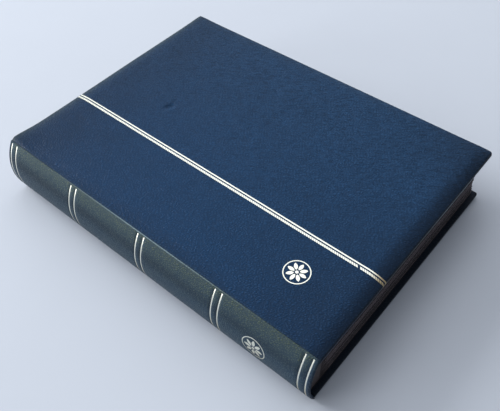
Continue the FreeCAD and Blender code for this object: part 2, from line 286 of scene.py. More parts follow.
class CoverForm:
    """A padded cover.

    u runs from the ridge, v along it, and depth is how far a point lies in from the solid's flat outside.
    """

    # Grid of the outside: its step, the finer step by the ridge, and the finest round the dent
    STEP, FINE_STEP, FINEST_STEP = 2.5, 1.0, 0.7
    RIDGE_STRIP = 12.0  # width of the finer grid by the ridge
    # Square at a fore-edge corner, where the grid bends to the rounding, and the cells along its side
    ZONE, CELLS = 8.0, 8
    # Edge: the outside ends and the edge begins RIM in, and LOWER_EDGE rounds it onto the inside
    RIM, LOWER_EDGE = 1.1, 0.8
    ROLL_PLACES, WALL_STEP, LOWER_PLACES = 8, 0.6, 5
    TURN_IN_PLACES = (3.5, 8.0)  # rows of points on the turn-in, before its end
    # Foam: from the leatherette's start, its gap under the leatherette, and its least thickness
    FOAM_START, FOAM_GAP, FOAM_LEAST = 1.2, 0.02, 0.05
    # The shelf has pressed the tail edge most: drop at the head and fore-edge, as a share of the tail's
    LESS = 0.55
    CORNER_HOLD = 0.45  # share of the drop that is missing at a fore-edge corner
    RIDGE_HOLD = 0.8  # share of the drop that is missing where the head edge meets the ridge
    SWELL_RUN = 11.0  # from the ridge, in which the padding swells
    JOINT_DEPTH, JOINT_PLACE, JOINT_HALF = 0.25, 5.0, 3.5  # groove by the ridge, in which the cover bends
    # Leatherette bunched where the head edge meets the ridge: height, where it starts and how far it reaches
    BUNCH, BUNCH_START, BUNCH_REACH = 2.2, 2.2, 16.0
    # Unevenness of the padding: height, run across, run along and phase of each wave
    WAVES = ((0.09, 19.0, 37.0, 0.0), (0.07, -43.0, 26.0, 1.3))
    # A slanting dent: its place, the cosine and sine of its slant, and the square of the finest grid
    DENT, DENT_SLANT, DENT_SQUARE = (108.7, 79.4), (0.907, 0.42), ((97.0, 119.0), (70.0, 91.0))
    # Its knock, a raised lip and a smaller knock: depth, place along and across, and the half widths along
    # and across, each beyond that place and before it
    KNOCKS = (
        (1.15, 0.0, 0.0, (3.4, 6.0), (1.8, 4.2)),
        (-0.40, -3.0, -5.5, (6.0, 6.0), (2.0, 2.0)),
        (0.30, 4.5, 4.0, (2.2, 2.2), (1.3, 1.3)),
    )
    # A faint fold across the middle: its ends, the finer strip of the grid, its depth and half width, and
    # how far beyond and within its ends it fades
    CREASE, CREASE_STRIP = ((109.0, 3.8), (201.0, -6.0)), (-12.0, 10.0)
    CREASE_DEPTH, CREASE_HALF, CREASE_BEYOND, CREASE_WITHIN = 0.13, 2.2, 4.0, 8.0

    def __init__(self, sizes, front):
        low, high = node_box("front_leatherette" if front else "back_leatherette")
        self.front = front
        self.ridge = (FRONT_FOLD if front else BACK_FOLD)[0]
        self.start = low[0] - self.ridge
        self.width = high[0] - self.ridge
        self.half = high[1]
        self.deep = high[2] - low[2]
        self.roll = sizes.pad_roll / MM
        # The back cover's padding is pressed flat by the album's weight
        self.swell = sizes.pad_swell / MM if front else 0.0
        self.drop = sizes.pad_drop / MM - sizes.pad_swell / MM + self.swell
        self.corner = sizes.corner / MM
        # Along the outline, from the side of a corner's square to the middle of the corner
        self.corner_run = self.ZONE - self.corner + self.corner * math.pi / 4
        self.turn_in = sizes.turn_in / MM
        self.press = sizes.press / MM
        self.grooves = []
        if front:
            place, half = sizes.rule_place / MM, sizes.rule_spacing / MM / 2
            for middle, width in ((place - half, sizes.rope_width), (place + half, sizes.plain_width)):
                self.grooves.append((middle - width / MM / 2, middle + width / MM / 2))
        self.lay_out()

    def falls(self, inset):
        """Share of its drop that the padding has fallen by at a distance from an edge."""
        return np.clip(1 - inset / self.roll, 0, 1) ** 2

    def depth(self, u, v):
        """Depth of the outside at a place."""
        held = 1 - self.RIDGE_HOLD * np.exp(-np.clip(u, 0, None) / self.roll)
        end = self.falls(self.half - np.abs(v)) * np.where(v < 0, 1.0, self.LESS * held)
        level = 1 - (1 - end) * (1 - self.falls(self.width - u) * self.LESS)
        # The leatherette is tightest over the fore-edge corners, and holds the padding up there
        to_corner = np.hypot(self.width - u, self.half - np.abs(v))
        level = level * (1 - self.CORNER_HOLD * bell(to_corner, self.roll))
        lift = self.swell * (1 - np.exp(-u / self.SWELL_RUN))
        total = (self.drop - self.swell + lift) * level - lift
        if not self.front:
            return total
        total = total + self.JOINT_DEPTH * (1 - end) * bell(u - self.JOINT_PLACE, self.JOINT_HALF)
        # The turned-in leatherette bunches at the head of the joint and lifts the corner there
        bunched = bell(u, self.BUNCH_REACH) * bell(self.half - v, self.BUNCH_REACH)
        total = total - self.BUNCH * (1 - bell(u, self.BUNCH_START)) * bunched
        for height, across, along, phase in self.WAVES:
            total = total + height * np.sin(u / across + v / along + phase)
        total = total + self.dent(u, v) + self.crease(u, v)
        for low, high in self.grooves:
            total = total + self.press * ((u > low - SNAP) & (u < high + SNAP))
        return total

    def dent(self, u, v):
        """A slanting knock, steeper towards the head, with a smaller one at its end."""
        off_u, off_v = u - self.DENT[0], v - self.DENT[1]
        cos, sin = self.DENT_SLANT
        total = 0.0
        for depth, along, across, reach, side in self.KNOCKS:
            p, q = off_u * cos - off_v * sin - along, off_u * sin + off_v * cos - across
            half_along, half_across = np.where(p > 0, *reach), np.where(q > 0, *side)
            total = total + depth * bell(p, half_along) * bell(q, half_across)
        return total

    def crease(self, u, v):
        """A faint fold that runs across the middle of the cover."""
        (start, start_v), (end, end_v) = self.CREASE
        off = v - np.interp(u, (start, end), (start_v, end_v))
        fade = ramp(u, start - self.CREASE_BEYOND, start + self.CREASE_WITHIN)
        fade = fade * ramp(u, end + self.CREASE_BEYOND, end - self.CREASE_WITHIN)
        return self.CREASE_DEPTH * fade * bell(off, self.CREASE_HALF)

    def corner_path(self, share, inset):
        """Place along an edge and out towards it, part of the way from a corner's square to its middle."""
        straight = self.ZONE - self.corner
        run = share * self.corner_run
        if run <= straight:
            return run, self.ZONE - inset
        turn = (run - straight) / self.corner
        radius = self.corner - inset
        return straight + radius * math.sin(turn), straight + radius * math.cos(turn)

    def corner_patch(self, a, b):
        """Place in a corner's square, for shares of it towards the fore-edge and the head or tail."""
        along, beside, tip = (np.array(self.corner_path(share, self.RIM)) for share in (a, b, 1.0))
        return b * along + a * beside[::-1] - a * b * tip

    def lay_out(self):
        """Plan of the outside, and the outline that its edge follows."""
        inner_u, inner_v = self.width - self.ZONE, self.half - self.ZONE
        u = [spaced(self.start, self.RIDGE_STRIP, self.FINE_STEP), [self.start + self.FOAM_START]]
        u.append(spaced(self.RIDGE_STRIP, inner_u, self.STEP))
        u += [[low - GROOVE_WALL, low, high, high + GROOVE_WALL] for low, high in self.grooves]
        v = [spaced(-inner_v, inner_v, self.STEP)]
        if self.front:
            across, along = self.DENT_SQUARE
            u.append(spaced(*across, self.FINEST_STEP))
            v += [spaced(*along, self.FINEST_STEP), spaced(*self.CREASE_STRIP, self.FINE_STEP)]
        self.columns = places(*u)
        share = np.linspace(0, 1, self.CELLS + 1)[1:]
        columns = [(place, 0.0) for place in self.columns] + [(inner_u, a) for a in share]
        rows = [(-1, -inner_v, b) for b in share[::-1]] + [(0, place, 0.0) for place in places(*v)]
        rows += [(1, inner_v, b) for b in share]
        self.plan = np.zeros((len(rows), len(columns), 2))
        for r, (side, row_v, b) in enumerate(rows):
            for c, (column_u, a) in enumerate(columns):
                p, q = self.corner_patch(a, b)
                self.plan[r, c] = column_u + p, row_v + side * q
        # The outline runs from the ridge at the tail round to the ridge at the head. Each point has its
        # edge, its share of that edge, and what outline_place needs
        reach_u, reach_v = inner_u - self.start + self.corner_run, 2 * (inner_v + self.corner_run)
        ends = [((place - self.start + a * self.corner_run) / reach_u, place, a) for place, a in columns]
        self.outline = [("tail", run, (place, -inner_v, a, -1)) for run, place, a in ends]
        for side, row_v, b in rows[1:]:
            run = inner_v + row_v + self.corner_run * (1 + side * b)
            self.outline.append(("fore", run / reach_v, (inner_u, row_v, b, side)))
        self.outline += [("head", run, (place, inner_v, a, 1)) for run, place, a in ends[-2::-1]]

    def outline_place(self, edge, u, v, share, side, inset):
        """Place some way in from a point of the outline, which may be part of the way round a corner."""
        run, reach = self.corner_path(share, inset)
        return (u + reach, v + side * run) if edge == "fore" else (u + run, v + side * reach)

    def turned(self, edge, share, inset):
        """A place on the turn-in, whose corners are mitred."""
        u, v = self.width - inset, self.half - inset
        across = self.start + share * (u - self.start)
        return {"tail": (across, -v), "head": (across, v), "fore": (u, v * (2 * share - 1))}[edge]

    def at_rim(self):
        """Depth at which the edge begins."""
        return self.drop * float(self.falls(self.RIM)) - self.swell

    def edge_steps(self):
        """Insets and depths down the edge, and how much of the outside's unevenness is left at each."""
        at_rim = self.at_rim()
        tilt = math.atan(2 * self.drop / self.roll * (1 - self.RIM / self.roll))
        radius = self.RIM / (1 - math.sin(tilt))
        steps = []
        for turn in np.linspace(tilt, math.pi / 2, self.ROLL_PLACES)[1:]:
            left = (math.pi / 2 - turn) / (math.pi / 2 - tilt)
            depth = at_rim + radius * (math.cos(tilt) - math.cos(turn))
            steps.append((radius * (1 - math.sin(turn)), depth, left))
        wall_end = self.deep - self.LOWER_EDGE
        for depth in spaced(steps[-1][1], wall_end, self.WALL_STEP)[1:]:
            steps.append((0.0, depth, 0.0))
        self.wall_steps = len(steps)
        for turn in np.linspace(0, math.pi / 2, self.LOWER_PLACES)[1:]:
            inset = self.LOWER_EDGE * (1 - math.cos(turn))
            steps.append((inset, wall_end + self.LOWER_EDGE * math.sin(turn), 0.0))
        return steps

    def place(self, u, v, depth):
        """Point of the album."""
        return np.stack([self.ridge + u, v + 0 * u, ALBUM_TOP - depth if self.front else depth], -1)

    def skin(self):
        """Points and faces of the leatherette's outside, over the edge and on to the end of the turn-in."""
        u, v = self.plan[..., 0], self.plan[..., 1]
        depth = self.depth(u, v)
        self.outside = self.place(u, v, depth)
        index = np.arange(u.size).reshape(u.shape)
        first = np.concatenate([index[0], index[1:, -1], index[-1, -2::-1]])
        uneven = depth.ravel()[first] - self.at_rim()
        loops = []
        for inset, nominal, left in self.edge_steps():
            spots = np.array([self.outline_place(edge, *point, inset) for edge, _, point in self.outline])
            loops.append(self.place(*spots.T, nominal + uneven * left))
        for inset in (*self.TURN_IN_PLACES, self.turn_in):
            spots = np.array([self.turned(edge, run, inset) for edge, run, _ in self.outline])
            loops.append(self.place(*spots.T, np.full(len(spots), self.deep)))
        self.loops = np.array(loops)
        ring = np.arange(self.loops.shape[0] * len(first)).reshape(-1, len(first)) + u.size
        faces = quads(index) + quads(np.vstack([first, ring])[::-1])
        if not self.front:
            faces = [face[::-1] for face in faces]
        return np.concatenate([self.outside.reshape(-1, 3), self.loops.reshape(-1, 3)]), faces

    def wear_sheen_and_shade(self, points):
        """How faded and how shaded each point of the skin is painted. The first value beyond 1 paints it
        pale, as a highlight.

        Each term is a strength that fades over a distance. On a shelf the head edge stands in the light and
        fades, and it also gets a painted sheen. The fore-edge gets a painted sheen, a faded line along the
        fold also stands in for a painted highlight, and hands rub the edges. Painted shade darkens the tail
        edge, the joint, the fore-edge corner at the tail, both ends, the turn-ins and the edges that lie in
        shadow.
        """
        number = np.arange(len(points))
        on_top = number < self.outside[..., 0].size
        turned_in = number >= len(points) - (len(self.TURN_IN_PLACES) + 1) * self.loops.shape[1]
        across, from_tail = points[:, 0] - self.ridge, points[:, 1] + ALBUM_HALF
        from_fore, from_head = self.width - across, ALBUM_HALF - points[:, 1]
        # The head edge fades in the light and also gets a painted sheen, more on top
        head = np.where(on_top, 0.95, 0.55) * np.exp(-np.clip(from_head - 0.6, 0, None) / 3.4)
        # A faded line along the fold, which also stands in for a painted highlight
        fold = 0.35 * np.exp(-np.abs(across) / 0.8)
        # A painted sheen along the middle of the fore-edge
        painted_sheen = 0.3 * np.exp(-from_fore / 2.5) * ramp(from_tail, 62, 122)
        faded = 0.07 * ramp(across, 0, self.width)
        wear_and_highlight = np.where(on_top, np.maximum(fold, painted_sheen + faded), 0.2)
        # Painted shade: darker at the tail edge, by the joint, round the fore-edge corner at the tail, and
        # over both ends
        tail = 0.62 * bell(from_tail, 12)
        joint = 0.22 * bell(across, 9)
        tail_corner_shade = 0.42 * bell(np.hypot(from_fore, from_tail), 45)
        tail_end_shade = 0.36 * bell(from_tail, 70) * bell(across, 110)
        head_end_shade = (0.22 + 0.10 * bell(across, 70)) * bell(from_head, 60)
        soil = np.maximum.reduce([tail, joint, tail_corner_shade, tail_end_shade, head_end_shade])
        # The turn-ins get painted shade
        wear_and_highlight[turned_in], soil[turned_in] = 0, 0.8
        if self.front:
            # The tail edge's wall gets painted shade, and its foot a painted highlight line, palest towards
            # the fore-edge
            tail_wall = ~on_top & ~turned_in & (from_tail < 0.5)
            soil[tail_wall] = 0.85
            foot = tail_wall & (np.abs(points[:, 2] - ALBUM_TOP + self.deep) < 1.45)
            wear_and_highlight[foot], soil[foot] = 2.0 * ramp(across[foot], 40, 150), 0.05
        else:
            # The back cover lies underneath, and its edges all round get painted shade
            soil[~on_top] = 0.85
        return np.maximum(head, wear_and_highlight), soil

    def chain(self, u):
        """Points of the outside from the foot of the tail edge, over the cover, to the head edge's foot."""
        column = int(np.argmin(np.abs(self.columns - u)))
        tail = self.loops[: self.wall_steps, column][::-1]
        head = self.loops[: self.wall_steps, -1 - column]
        return np.concatenate([tail, self.outside[:, column], head])

    def padding(self, low_depth):
        """The foam between the leatherette and the board."""
        first = int(np.argmin(np.abs(self.columns - self.start - self.FOAM_START)))
        u, v = self.plan[:, first:, 0], self.plan[:, first:, 1]
        top_depth = np.minimum(self.depth(u, v) + LEATHERETTE + self.FOAM_GAP, low_depth - self.FOAM_LEAST)
        top, bottom = self.place(u, v, top_depth), self.place(u, v, np.full(u.shape, low_depth))
        return solid(top, bottom) if self.front else solid(bottom, top)


class SpineForm:
    """The round of the spine.

    s runs round its middle layer from the front ridge, y along it, and h out from its outside.
    """

    LINE_END, LINE_WALL = 1.2, 0.15  # from a ridge to a gilt line's end, and the side of its groove there
    SETBACK = 4.0  # the turn-ins begin this far from a ridge, clear of the covers
    # Grid: its steps round, along and on the turn-ins, and the places on the bend over head or tail
    STEP, LONG_STEP, TURN_IN_STEP, BEND_PLACES = 1.4, 6.0, 3.0, 13
    MARGIN = 0.5  # the even steps round begin this far from a ridge

    def __init__(self, sizes):
        front, back = FRONT_FOLD[[0, 2]], BACK_FOLD[[0, 2]]
        chord = front - back
        middle = (front + back) / 2
        out = np.array([-chord[1], chord[0]]) / np.hypot(*chord)
        rise = sizes.spine_bulge / MM - LEATHERETTE / 2 + middle[0] - front[0]
        half = np.hypot(*chord) / 2
        self.radius = (half**2 + rise**2) / (2 * rise)
        self.centre = middle - out * (self.radius - rise)
        turns = [math.atan2(*(end - self.centre)[::-1]) % (2 * math.pi) for end in (front, back)]
        self.turn = turns[0]
        self.length = (turns[1] - turns[0]) * self.radius
        self.outer = self.radius + LEATHERETTE / 2
        self.roll = LEATHERETTE + sizes.spine_card / MM / 2  # rounding over head and tail
        self.turn_in = sizes.spine_turn_in / MM
        pitch = (ALBUM_HALF - sizes.line_margin / MM) * 2 / (sizes.line_pairs - 1)
        pairs = [(n - (sizes.line_pairs - 1) / 2) * pitch for n in range(sizes.line_pairs)]
        half_space = sizes.line_spacing / MM / 2
        self.lines = [pair + side * half_space for pair in pairs for side in (-1, 1)]
        self.line_half = sizes.line_width / MM / 2
        self.press = sizes.press / MM

    def place(self, s, y, h):
        """Point of the album."""
        s, y, h = np.broadcast_arrays(s, y, h)
        turn = self.turn + s / self.radius
        reach = self.outer + h
        x, z = self.centre[0] + reach * np.cos(turn), self.centre[1] + reach * np.sin(turn)
        return np.stack([x, y, z], -1)

    def round_places(self):
        """Places of the grid round the spine, from just over the front ridge to just under the back one."""
        end, edge = self.length, LEATHERETTE / 2
        marks = [-edge, 0, self.LINE_END - self.LINE_WALL, self.LINE_END, self.SETBACK]
        marks += [end - mark for mark in marks]
        return places(marks, spaced(self.MARGIN, end - self.MARGIN, self.STEP))

    def long_places(self):
        """Places of the grid along the spine, the height of each, and whether it is turned in."""
        straight = ALBUM_HALF - self.roll
        inner, outer = self.line_half, self.line_half + GROOVE_WALL
        walls = [[y - outer, y - inner, y + inner, y + outer] for y in self.lines]
        middle = places(spaced(-straight, straight, self.LONG_STEP), *walls)
        rows = [(y, 0.0, False) for y in middle[np.abs(middle) < straight + SNAP]]
        for side in (-1, 1):
            end = []
            for turn in np.linspace(0, math.pi, self.BEND_PLACES)[1:]:
                y = side * (straight + self.roll * math.sin(turn))
                end.append((y, self.roll * (math.cos(turn) - 1), turn > math.pi / 2 + SNAP))
            for run in spaced(0, self.turn_in - self.roll, self.TURN_IN_STEP)[1:]:
                end.append((side * (straight - run), -2 * self.roll, True))
            rows = rows + end if side > 0 else end[::-1] + rows
        return (np.array(part) for part in zip(*rows))

    def skin(self):
        """Points and faces of the leatherette's outside, over head and tail to the ends of the turn-ins."""
        s, end = self.round_places(), self.length
        y, h, inside = self.long_places()
        in_line = np.any([np.abs(y - line) < self.line_half + SNAP for line in self.lines], axis=0)
        pressed = in_line[:, None] & (s > self.LINE_END - SNAP) & (s < end - self.LINE_END + SNAP)
        points = self.place(s[None, :], y[:, None], h[:, None] - self.press * pressed)
        index = np.arange(points.shape[0] * points.shape[1]).reshape(points.shape[:2])
        under_cover = (s[:-1] < self.SETBACK - SNAP) | (s[1:] > end - self.SETBACK + SNAP)
        kept = ~((inside[:-1] | inside[1:])[:, None] & under_cover[None, :])
        faces = [face[::-1] for face, keep in zip(quads(index), kept.ravel()) if keep]
        used, renumbered = np.unique(np.array(faces), return_inverse=True)
        return points.reshape(-1, 3)[used], renumbered.reshape(-1, 4).tolist()

    def wear_sheen_and_shade(self, points):
        """How faded and how shaded each point of the skin is painted. The first value beyond 1 paints it
        pale, as a highlight.

        Each term is a strength that fades over a distance. On a shelf the whole spine stands in the light and
        fades, most of all high up by the front cover, and the fade also stands in for a painted sheen there.
        The top of the ridge gets a painted highlight line, and painted shade darkens a band at mid height,
        the lower side, the upper side towards the tail, and the tail end.
        """
        x, y, z = points.T
        up = ramp(z / ALBUM_TOP, 0.72, 0.94)
        along = ramp(y, -ALBUM_HALF, ALBUM_HALF)
        # A painted highlight line along the top of the ridge, strongest midway along
        ridge = 0.9 * bell(along - 0.48, 0.27) * bell(z - ALBUM_TOP, 0.3)
        outside = ramp(self.outer - np.hypot(x - self.centre[0], z - self.centre[1]), 2.2, 0.6)
        # Less of the fade and painted sheen near head and tail
        ends = np.clip((ALBUM_HALF - np.abs(y)) / 5.0, 0.6, 1)
        # Painted shade: a band at mid height, the lower side, the upper side towards the tail, and the tail
        # end
        middle_shade = 0.26 * bell(z - 35.5, 5.0)
        tail = 0.5 * bell(y + ALBUM_HALF, 4.0)
        soil = outside * (middle_shade + (0.13 + 0.13 * along) * (1 - up) + 0.2 * up * (1 - along))
        return outside * ends * (0.52 + 0.38 * up + ridge), np.maximum(soil, tail)


def unit(vectors):
    """Vectors of length one."""
    return vectors / np.linalg.norm(vectors, axis=-1, keepdims=True)


class RuleLay:
    """Lays a form along a rule of the cover: across from 0 to 1, along in millimetres, and up."""

    def __init__(self, cover, low, high):
        self.near, self.far = cover.chain(low), cover.chain(high)
        middle = (self.near + self.far) / 2
        self.run = np.concatenate([[0], np.cumsum(np.linalg.norm(np.diff(middle, axis=0), axis=1))])
        self.up = unit(np.cross(self.far - self.near, np.gradient(middle, axis=0)))

    def read(self, values, along):
        """Values given at the rule's points, in between them."""
        return np.stack([np.interp(along, self.run, values[:, axis]) for axis in range(3)], -1)

    def place(self, across, along, up):
        """Point of the album."""
        across, along, up = np.broadcast_arrays(across, along, up)
        near, far = self.read(self.near, along), self.read(self.far, along)
        return near + (far - near) * across[..., None] + unit(self.read(self.up, along)) * up[..., None]


FOIL = 0.07  # the gilt's thickness as drawn, which keeps it clear of the leatherette under it


def foil_form(place, p, q, up, ring=False):
    """A form of gilt foil, laid by a function of two places on the surface and a height above it."""
    return solid(place(p, q, up), place(p, q, up - FOIL), ring)


def plain_rule(lay):
    """A flat gilt rule with rounded sides."""
    across = np.array([0.02, 0.2, 0.8, 0.98])[None, :]
    crown = np.array([0.02, 0.06, 0.06, 0.02])[None, :]
    return foil_form(lay.place, across, lay.run[:, None], crown)


def rope_rule(lay, pitch, nick):
    """A gilt rule of slanting strands, like a laid rope, with one strand lost at a distance along it."""
    across = np.array([0.03, 0.25, 0.5, 0.75, 0.97])[None, :]
    crown = np.array([0.04, 0.08, 0.09, 0.08, 0.04])[None, :]
    rounding = np.array([-0.04, 0.0, 0.0, -0.04])[:, None]
    slant, gap = 0.75 * pitch, 0.18 * pitch
    strands = []
    for start in np.arange(0.0, lay.run[-1] - slant - pitch, pitch):
        if abs(start + slant / 2 - nick) < pitch / 2:
            continue
        along = start + slant * across + np.linspace(0, pitch - gap, 4)[:, None]
        strands.append(foil_form(lay.place, across, along, crown + rounding))
    return joined(strands)


def spine_line(spine, y):
    """A gilt line round the spine, a little narrower and shorter than the groove that it lies in."""
    clear = 0.03
    across = y + (spine.line_half - clear) * np.array([-1, -0.7, 0.7, 1])[:, None]
    crown = np.array([-0.08, -0.05, -0.05, -0.08])[:, None]
    start = spine.LINE_END + clear
    round_it = spaced(start, spine.length - start, 1.0)[None, :]
    return solid(spine.place(round_it, across, crown - FOIL), spine.place(round_it, across, crown))


def rosette(place, diameter):
    """A ring, eight petals and an eye, laid by a function of two places on a surface and a height."""
    lie = partial(foil_form, place, up=0.05)
    outer, ring_width, eye = diameter / 2, 0.037 * diameter, 0.063 * diameter
    turn = np.linspace(0, 2 * math.pi, 73)[:-1][None, :]
    radius = np.linspace(outer, outer - ring_width, 3)[:, None]
    forms = [lie(radius * np.cos(turn), radius * np.sin(turn), ring=True)]
    a, b = np.meshgrid(np.linspace(-1, 1, 7), np.linspace(-1, 1, 7))
    forms.append(lie(eye * a * np.sqrt(1 - b**2 / 2), eye * b * np.sqrt(1 - a**2 / 2)))
    # A petal lies between two bows that meet at its ends
    root, reach, half = eye + ring_width, 0.295 * diameter, 0.068 * diameter
    bow = (reach**2 / 4 + half**2) / (2 * half)
    along = np.linspace(0.02, 0.98, 15)
    side = np.sqrt(bow**2 - (reach * (along - 0.5)) ** 2) - (bow - half)
    p = np.broadcast_to((root + reach * along)[None, :], (5, 15))
    q = np.linspace(-1, 1, 5)[:, None] * side[None, :]
    for turn in np.arange(8) * math.pi / 4:
        c, s = math.cos(turn), math.sin(turn)
        forms.append(lie(p * c - q * s, p * s + q * c))
    return joined(forms)


class LeafForm:
    """One leaf. Its card, strips and interleaf share a slight cockle, which is its own."""

    CARD, STRIP, GLASSINE = 0.45, 0.08, 0.04  # thicknesses
    CARD_STEP, LINEN_STEP, STRIP_STEP, GLASSINE_STEP = 12.0, 3.0, 30.0, 8.0  # of their grids
    CARD_WIDTH, LINEN_LAP, LINEN_ENTRY = 196.0, 4.0, 0.02  # the entry is what the linen reaches into the card
    LINEN_AT_HINGE, LINEN_AT_CARD = 0.15, 0.40  # the two layers of linen part to take the card between them
    LAP_HALF, LAP_START = 0.03, 0.3  # half of a lap's thickness, and how far before the card it begins
    SIDE_MARGIN, FOOT_MARGIN, GLASSINE_MARGIN = 6.0, 4.0, 2.0
    OUT_OF_LINE = 0.25  # how far a card's cut edges may lie from the block's
    GUM = 0.01  # under a strip
    # The glassine lies this far over the strips, but dips where it is gummed
    OVER_STRIPS, GUMMED_DEPTH, GUMMED_WIDTH = 0.07, 0.1, 3.0
    # Height of the card's waves, and the least and most height of the glassine's
    COCKLE, BUCKLE = 0.055, (0.03, 0.10)

    def __init__(self, node, chance):
        _, high = node_box(node)
        self.hinge, _, self.z = pivot(f"{node}_hinge")
        self.start, self.end, self.half = high[0] - self.CARD_WIDTH, high[0], high[1]
        self.shift = chance.uniform(-self.OUT_OF_LINE, self.OUT_OF_LINE, 3)
        self.phase = chance.uniform(0, 2 * math.pi, 4)
        self.lift = chance.uniform(*self.BUCKLE)

    def cockle(self, x, y):
        """How far the leaf lies off its plane, more towards its fore-edge."""
        wave = np.sin(y / 34 + self.phase[0]) + 0.7 * np.sin(y / 19 + x / 45 + self.phase[1])
        return self.COCKLE * ramp(x, self.start, self.end) * wave

    def sheet(self, x, y, low, high):
        """A thin sheet over a grid of places, between two heights over the leaf's plane."""
        x, y = np.meshgrid(x, y)
        off = self.z + self.cockle(x, y)
        return solid(np.stack([x, y, off + high], -1), np.stack([x, y, off + low], -1))

    def card(self):
        """Card with its linen, and which material each face has: 0 card, 1 linen, 2 cut edge."""
        x = spaced(self.start, self.end + self.shift[0], self.CARD_STEP)
        y = spaced(-self.half + self.shift[1], self.half + self.shift[2], self.CARD_STEP)
        face = self.CARD / 2
        card = self.sheet(x, y, -face, face)
        tape_x = spaced(self.hinge, self.start + self.LINEN_ENTRY, self.LINEN_STEP)
        half = np.linspace(self.LINEN_AT_HINGE, self.LINEN_AT_CARD, len(tape_x))[None, :] / 2
        tape = self.sheet(tape_x, y, -half, half)
        lap_x = np.array([self.start - self.LAP_START, self.start, self.start + self.LINEN_LAP])
        laps = [self.sheet(lap_x, y, side - self.LAP_HALF, side + self.LAP_HALF) for side in (-face, face)]
        forms, shades = [card, tape] + laps, []
        for form, columns, number in zip(forms, (x, tape_x, lap_x, lap_x), (0, 1, 1, 1)):
            flat = 2 * (len(columns) - 1) * (len(y) - 1)
            shades += [number] * flat + [2] * (len(form[1]) - flat)
        return joined(forms), shades

    def strips(self, count, gap):
        """Clear strips on both pages, gummed at their foot, with the upper edge a hair off the card."""
        pitch = (2 * self.half - self.FOOT_MARGIN) / count
        x = spaced(self.start + self.SIDE_MARGIN, self.end - self.SIDE_MARGIN, self.STRIP_STEP)
        rise = np.array([0, 0.04, 0.4, 0.8, 0.97, 1])
        stand = np.array([0, 0.01, 0.03, 0.05, 0.06, 0.05])[:, None]
        near = self.CARD / 2 + self.GUM
        forms = []
        for n in range(count):
            y = self.FOOT_MARGIN - self.half + n * pitch + (pitch - gap) * rise
            for side in (1, -1):
                low, high = sorted((side * near, side * (near + self.STRIP)))
                forms.append(self.sheet(x, y, low + side * stand, high + side * stand))
        return joined(forms)

    def glassine(self):
        """The interleaf on the leaf's front page, which lies close to the card along its gummed edge."""
        margin, gummed = self.GLASSINE_MARGIN, self.start + self.GLASSINE_MARGIN
        x = places([gummed], spaced(gummed + self.GUMMED_WIDTH, self.end - margin, self.GLASSINE_STEP))
        y = spaced(-self.half + margin, self.half - margin, self.GLASSINE_STEP)
        gx, gy = np.meshgrid(x, y)
        share = (gx - self.start) / (self.end - self.start)
        buckle = self.lift * share * (1 + np.sin(gy / 27 + self.phase[2]) * np.sin(gx / 31 + self.phase[3]))
        dip = self.GUMMED_DEPTH * ramp(gx, gummed + self.GUMMED_WIDTH, gummed)
        base = self.CARD / 2 + self.GUM + self.STRIP + self.OVER_STRIPS + buckle - dip
        return self.sheet(x, y, base, base + self.GLASSINE)


# Materials


def add(tree, kind, inputs, **settings):
    """Adds a node, sets it up, and links or sets its inputs."""
    made = tree.nodes.new("ShaderNode" + kind)
    for key, value in settings.items():
        setattr(made, key, value)
    for key, value in inputs.items():
        if isinstance(value, bpy.types.NodeSocket):
            tree.links.new(value, made.inputs[key])
        else:
            made.inputs[key].default_value = value
    return made.outputs


def begin(name):
    """A new material, the function that adds its nodes, and the place on the piece in millimetres."""
    material = bpy.data.materials.new(name)
    material.use_nodes = True
    material.node_tree.nodes.clear()
    node = partial(add, material.node_tree)
    place = node("TexCoord", {})["Object"]
    return material, node, node("VectorMath", {0: place, "Scale": 1 / MM}, operation="SCALE")[0]


FACTOR, FIRST, SECOND, MIXED = 0, 6, 7, 2  # a colour Mix node's sockets


def shade(rgba, factor):
    """A colour made lighter or darker."""
    return [min(1.0, part * factor) for part in rgba[:3]] + [1.0]


def surface(node, inputs):
    """Ends a material with a Principled shader."""
    node("OutputMaterial", {"Surface": node("BsdfPrincipled", inputs)["BSDF"]})


def dull_surface(node, rgba, shades, pattern, relief, strength, depth, roughness, specular):
    """Ends a dull material, whose colour follows a pattern between two shades, and which has a relief."""
    dark, pale = (shade(rgba, factor) for factor in shades)
    tone = node("Mix", {FACTOR: pattern, FIRST: dark, SECOND: pale}, data_type="RGBA")[MIXED]
    bump = node("Bump", {"Height": relief, "Strength": strength, "Distance": depth * MM})["Normal"]
    gloss = {"Roughness": roughness, "Specular IOR Level": specular}
    surface(node, {"Base Color": tone, "Normal": bump, **gloss})


